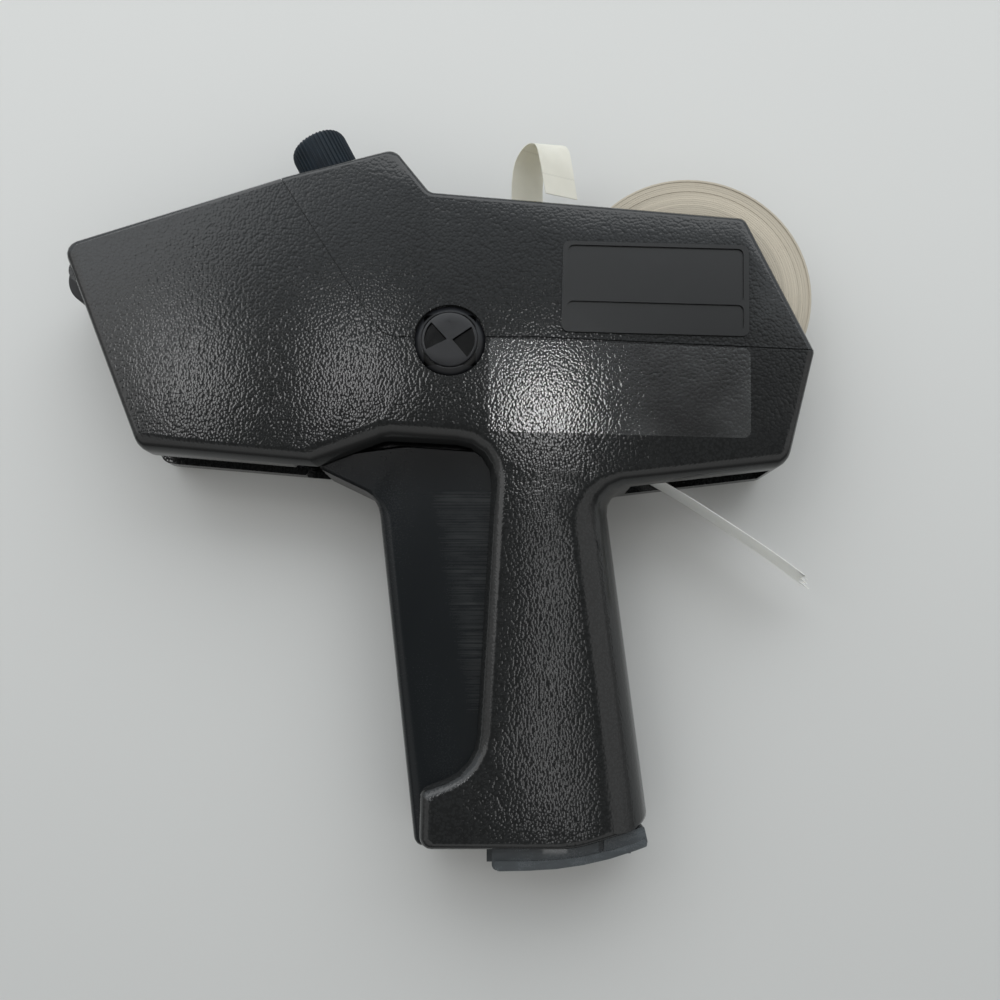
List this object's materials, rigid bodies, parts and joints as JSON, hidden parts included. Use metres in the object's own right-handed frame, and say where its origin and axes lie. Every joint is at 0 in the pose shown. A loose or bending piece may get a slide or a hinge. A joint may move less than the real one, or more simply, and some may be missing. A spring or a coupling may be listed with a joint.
{
  "type": "price labeller",
  "caption": "Hand-held price labeller: two-part housing with handle, squeeze trigger, sliding print head with ribbed selector knob, inking arm, rollers and an open label roll.",
  "frame": {"origin": "middle of the whole object's box, on the right face that it lies on", "axes": "+X from the nose to the rear, +Y from the handle's foot to the knob, +Z from the right face to the left"},
  "size_m": [0.218, 0.2133, 0.033],
  "materials": {
    "shell": "pebble-grained moulded charcoal plastic",
    "cover": "pebble-grained moulded charcoal plastic",
    "lock": "gloss black",
    "cap": "satin dark grey",
    "trigger": "smooth satin black, worn along the cheek",
    "knob": "ribbed satin blue-black",
    "natural": "unpainted moulded plastic",
    "steel": "plain turned steel",
    "type": "matt",
    "roller": "matt",
    "ink": "matt, inked",
    "core": "plain board",
    "roll": "edge of wound paper",
    "label": "plain paper",
    "liner": "glassine"
  },
  "bodies": {
    "housing": {"left_body_shell": "shell", "right_body_shell": "shell", "left_top_cover": "cover", "right_top_cover": "cover", "housing_screws": "steel", "trigger_pin": "steel", "trigger_spring": "steel", "gear_shaft": "steel", "platen": "steel", "peel_bar": "steel", "ink_arm_pins": "steel", "applicator_axle": "steel", "feed_axle": "steel", "pinch_axle": "steel", "roll_hub": "natural", "label_strip": "label", "liner_tail": "liner"},
    "trigger_body": {"trigger": "trigger"},
    "pinion_body": {"drive_pinion": "natural"},
    "carriage_body": {"print_carriage": "natural", "type_bands": "type", "band_wheels": "natural"},
    "selector_body": {"selector_shaft": "steel"},
    "knob_body": {"selector_knob": "knob"},
    "ink_arm_body": {"ink_arm": "natural"},
    "ink_roller_body": {"ink_roller": "ink"},
    "applicator_body": {"applicator_roller": "roller"},
    "feed_body": {"feed_wheel": "natural"},
    "pinch_body": {"pinch_roller": "roller"},
    "roll_body": {"roll_core": "core", "label_roll": "roll"},
    "lock_body": {"cover_lock": "lock"},
    "cap_body": {"handle_end_cap": "cap"}
  },
  "joints": [
    {"name": "trigger_squeeze", "type": "hinge", "parent": "housing", "child": "trigger_body", "pos_m": [0.0025, -0.09246, 0.016], "axis": [0, 0, -1], "range_deg": [0, 12], "stiffness_Nm_per_rad": 4, "springref_deg": -11.46, "deforming": ["trigger_spring"]},
    {"name": "pinion_turn", "type": "hinge", "parent": "housing", "child": "pinion_body", "pos_m": [0.0035, 0.03704, 0.016], "axis": [0, 0, 1], "range_deg": [0, 161]},
    {"name": "head_slide", "type": "slide", "parent": "housing", "child": "carriage_body", "axis": [-0.887, -0.4617, 0], "range_m": [0, 0.0253]},
    {"name": "ink_arm_swing", "type": "hinge", "parent": "housing", "child": "ink_arm_body", "pos_m": [-0.03952, 0.06792, 0.016], "axis": [0, 0, -1], "range_deg": [0, 42.5]},
    {"name": "ink_roller_spin", "type": "hinge", "parent": "ink_arm_body", "child": "ink_roller_body", "pos_m": [-0.05876, 0.0449, 0.016], "axis": [0, 0, 1], "continuous": true},
    {"name": "knob_pull", "type": "slide", "parent": "carriage_body", "child": "selector_body", "axis": [-0.4617, 0.887, 0], "range_m": [0, 0.0165]},
    {"name": "knob_turn", "type": "hinge", "parent": "selector_body", "child": "knob_body", "pos_m": [-0.00226, 0.03404, 0.016], "axis": [-0.4617, 0.887, 0], "continuous": true},
    {"name": "label_roll_turn", "type": "hinge", "parent": "housing", "child": "roll_body", "pos_m": [0.0735, 0.05401, 0.016], "axis": [0, 0, 1], "continuous": true},
    {"name": "applicator_roller_turn", "type": "hinge", "parent": "housing", "child": "applicator_body", "pos_m": [-0.1015, 0.05854, 0.016], "axis": [0, 0, 1], "continuous": true},
    {"name": "feed_wheel_turn", "type": "hinge", "parent": "housing", "child": "feed_body", "pos_m": [0.05925, 0.01069, 0.016], "axis": [0, 0, 1], "continuous": true},
    {"name": "pinch_roller_turn", "type": "hinge", "parent": "housing", "child": "pinch_body", "pos_m": [0.05325, 0.00165, 0.016], "axis": [0, 0, 1], "continuous": true},
    {"name": "lock_turn", "type": "hinge", "parent": "housing", "child": "lock_body", "pos_m": [0.0035, 0.03704, 0.016], "axis": [0, 0, 1], "range_deg": [0, 90]},
    {"name": "end_cap_pull", "type": "slide", "parent": "housing", "child": "cap_body", "axis": [0, -1, 0], "range_m": [0, 0.025]}
  ],
  "couplings": [
    {"joint": "pinion_turn", "follows": "trigger_squeeze", "ratio": 13.389},
    {"joint": "head_slide", "follows": "trigger_squeeze", "m_per_rad": 0.1205},
    {"joint": "ink_arm_swing", "follows": "trigger_squeeze", "ratio": 3.5},
    {"joint": "pinch_roller_turn", "follows": "feed_wheel_turn", "ratio": -3.3333}
  ]
}
